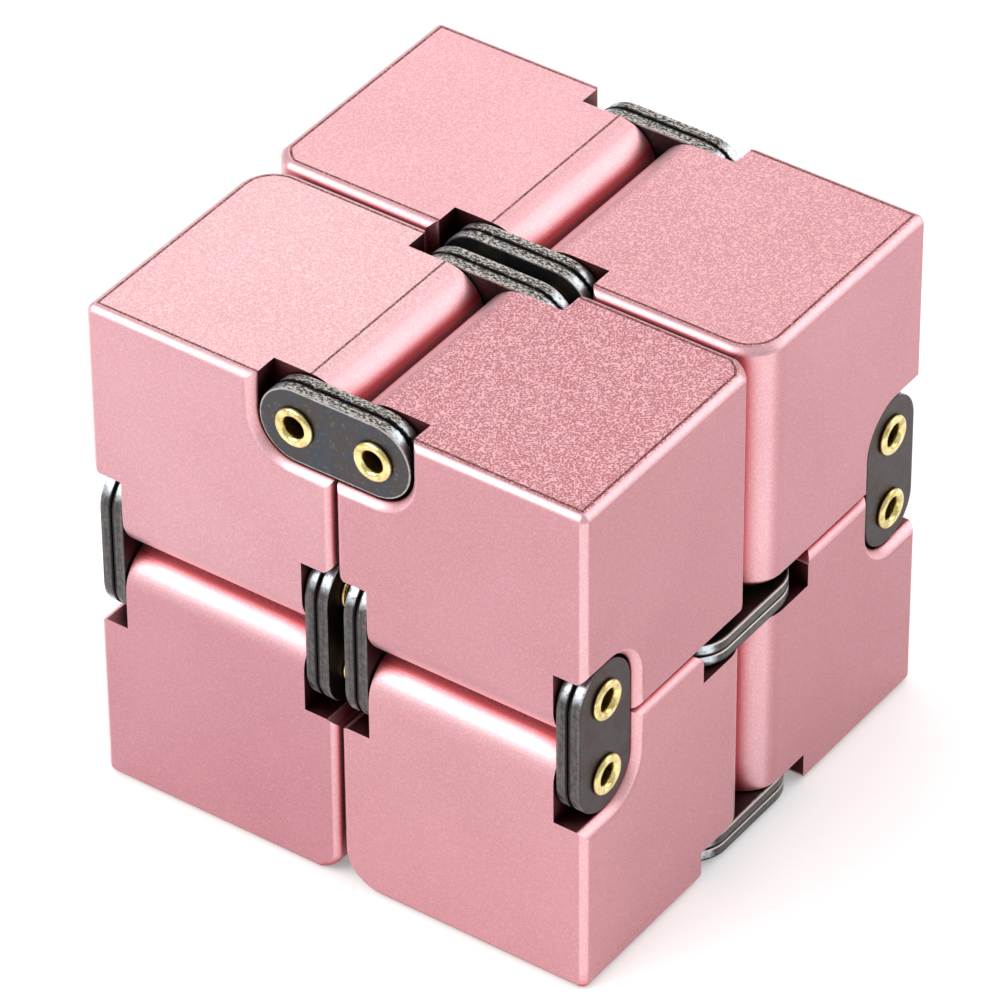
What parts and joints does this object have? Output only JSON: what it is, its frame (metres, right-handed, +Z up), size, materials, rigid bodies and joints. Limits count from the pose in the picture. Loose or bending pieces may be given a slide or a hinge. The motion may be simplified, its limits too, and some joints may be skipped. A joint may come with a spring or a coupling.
{
  "type": "folding infinity cube desk toy",
  "caption": "Metal infinity cube fidget toy: solid blocks joined in a ring by double-pivot riveted link hinges, so the cube folds out and turns itself inside out.",
  "frame": {"origin": "middle of the closed cube's base, on the surface it stands on", "axes": "+Z up; -Y towards the face with the top front hinge's plates; +X towards the face with the right bottom hinge, so the two top hinges run along Y"},
  "size_m": [0.04, 0.04, 0.04],
  "materials": {
    "anodised_rose_aluminium": "blasted and anodised satin",
    "gunmetal_steel": "tumbled dark",
    "yellow_brass": "bright rolled"
  },
  "bodies": {
    "block_top_front_left": {"block_top_front_left": "anodised_rose_aluminium"},
    "block_top_front_right": {"block_top_front_right": "anodised_rose_aluminium"},
    "block_top_back_right": {"block_top_back_right": "anodised_rose_aluminium"},
    "block_top_back_left": {"block_top_back_left": "anodised_rose_aluminium"},
    "block_bottom_front_left": {"block_bottom_front_left": "anodised_rose_aluminium"},
    "block_bottom_front_right": {"block_bottom_front_right": "anodised_rose_aluminium"},
    "block_bottom_back_right": {"block_bottom_back_right": "anodised_rose_aluminium"},
    "block_bottom_back_left": {"block_bottom_back_left": "anodised_rose_aluminium"},
    "link_top_front": {"top_front_plate_front_cover": "gunmetal_steel", "top_front_plate_front_under": "gunmetal_steel", "top_front_plate_rear_cover": "gunmetal_steel", "top_front_plate_rear_under": "gunmetal_steel", "top_front_rivet_left": "yellow_brass", "top_front_rivet_right": "yellow_brass"},
    "link_top_back": {"top_back_plate_front_cover": "gunmetal_steel", "top_back_plate_front_under": "gunmetal_steel", "top_back_plate_rear_cover": "gunmetal_steel", "top_back_plate_rear_under": "gunmetal_steel", "top_back_rivet_left": "yellow_brass", "top_back_rivet_right": "yellow_brass"},
    "link_front_right": {"front_right_plate_inner_cover": "gunmetal_steel", "front_right_plate_inner_under": "gunmetal_steel", "front_right_plate_outer_cover": "gunmetal_steel", "front_right_plate_outer_under": "gunmetal_steel", "front_right_rivet_lower": "yellow_brass", "front_right_rivet_upper": "yellow_brass"},
    "link_front_left": {"front_left_plate_outer_cover": "gunmetal_steel", "front_left_plate_outer_under": "gunmetal_steel", "front_left_plate_inner_cover": "gunmetal_steel", "front_left_plate_inner_under": "gunmetal_steel", "front_left_rivet_lower": "yellow_brass", "front_left_rivet_upper": "yellow_brass"},
    "link_back_right": {"back_right_plate_inner_cover": "gunmetal_steel", "back_right_plate_inner_under": "gunmetal_steel", "back_right_plate_outer_cover": "gunmetal_steel", "back_right_plate_outer_under": "gunmetal_steel", "back_right_rivet_lower": "yellow_brass", "back_right_rivet_upper": "yellow_brass"},
    "link_back_left": {"back_left_plate_outer_cover": "gunmetal_steel", "back_left_plate_outer_under": "gunmetal_steel", "back_left_plate_inner_cover": "gunmetal_steel", "back_left_plate_inner_under": "gunmetal_steel", "back_left_rivet_lower": "yellow_brass", "back_left_rivet_upper": "yellow_brass"},
    "link_right_bottom": {"right_bottom_plate_lower_cover": "gunmetal_steel", "right_bottom_plate_lower_under": "gunmetal_steel", "right_bottom_plate_upper_cover": "gunmetal_steel", "right_bottom_plate_upper_under": "gunmetal_steel", "right_bottom_rivet_front": "yellow_brass", "right_bottom_rivet_back": "yellow_brass"},
    "link_left_bottom": {"left_bottom_plate_lower_cover": "gunmetal_steel", "left_bottom_plate_lower_under": "gunmetal_steel", "left_bottom_plate_upper_cover": "gunmetal_steel", "left_bottom_plate_upper_under": "gunmetal_steel", "left_bottom_rivet_front": "yellow_brass", "left_bottom_eyelet_back_lower": "yellow_brass", "left_bottom_eyelet_back_upper": "yellow_brass"}
  },
  "joints": [
    {"name": "front_right_lower", "type": "hinge", "parent": "block_bottom_front_right", "child": "link_front_right", "pos_m": [0.01008, -0.017, 0.01685], "axis": [1, 0, 0], "range_deg": [0, 90]},
    {"name": "front_right_upper", "type": "hinge", "parent": "link_front_right", "child": "block_top_front_right", "pos_m": [0.01008, -0.017, 0.02315], "axis": [1, 0, 0], "range_deg": [0, 90]},
    {"name": "top_front_right", "type": "hinge", "parent": "block_top_front_right", "child": "link_top_front", "pos_m": [0.00315, -0.01008, 0.037], "axis": [0, 1, 0], "range_deg": [0, 90]},
    {"name": "top_front_left", "type": "hinge", "parent": "link_top_front", "child": "block_top_front_left", "pos_m": [-0.00315, -0.01008, 0.037], "axis": [0, 1, 0], "range_deg": [0, 90]},
    {"name": "front_left_upper", "type": "hinge", "parent": "block_top_front_left", "child": "link_front_left", "pos_m": [-0.01008, -0.017, 0.02315], "axis": [-1, 0, 0], "range_deg": [0, 90]},
    {"name": "front_left_lower", "type": "hinge", "parent": "link_front_left", "child": "block_bottom_front_left", "pos_m": [-0.01008, -0.017, 0.01685], "axis": [-1, 0, 0], "range_deg": [0, 90]},
    {"name": "left_bottom_front", "type": "hinge", "parent": "block_bottom_front_left", "child": "link_left_bottom", "pos_m": [-0.017, -0.00315, 0.00992], "axis": [0, 0, 1], "range_deg": [0, 90]},
    {"name": "right_bottom_front", "type": "hinge", "parent": "block_bottom_front_right", "child": "link_right_bottom", "pos_m": [0.017, -0.00315, 0.00992], "axis": [0, 0, -1], "range_deg": [0, 90]},
    {"name": "right_bottom_back", "type": "hinge", "parent": "link_right_bottom", "child": "block_bottom_back_right", "pos_m": [0.017, 0.00315, 0.00992], "axis": [0, 0, -1], "range_deg": [0, 90]},
    {"name": "back_right_lower", "type": "hinge", "parent": "block_bottom_back_right", "child": "link_back_right", "pos_m": [0.01008, 0.017, 0.01685], "axis": [-1, 0, 0], "range_deg": [0, 90]},
    {"name": "back_right_upper", "type": "hinge", "parent": "link_back_right", "child": "block_top_back_right", "pos_m": [0.01008, 0.017, 0.02315], "axis": [-1, 0, 0], "range_deg": [0, 90]},
    {"name": "top_back_right", "type": "hinge", "parent": "block_top_back_right", "child": "link_top_back", "pos_m": [0.00315, 0.01008, 0.037], "axis": [0, 1, 0], "range_deg": [0, 90]},
    {"name": "top_back_left", "type": "hinge", "parent": "link_top_back", "child": "block_top_back_left", "pos_m": [-0.00315, 0.01008, 0.037], "axis": [0, 1, 0], "range_deg": [0, 90]},
    {"name": "back_left_upper", "type": "hinge", "parent": "block_top_back_left", "child": "link_back_left", "pos_m": [-0.01008, 0.017, 0.02315], "axis": [1, 0, 0], "range_deg": [0, 90]},
    {"name": "back_left_lower", "type": "hinge", "parent": "link_back_left", "child": "block_bottom_back_left", "pos_m": [-0.01008, 0.017, 0.01685], "axis": [1, 0, 0], "range_deg": [0, 90]}
  ],
  "couplings": [
    {"joint": "front_left_upper", "follows": "front_right_upper", "ratio": 1},
    {"joint": "front_left_lower", "follows": "front_right_lower", "ratio": 1},
    {"joint": "left_bottom_front", "follows": "right_bottom_front", "ratio": 1},
    {"joint": "top_back_right", "follows": "top_front_right", "ratio": 1},
    {"joint": "top_back_left", "follows": "top_front_left", "ratio": 1},
    {"joint": "back_left_upper", "follows": "back_right_upper", "ratio": 1},
    {"joint": "back_left_lower", "follows": "back_right_lower", "ratio": 1}
  ]
}
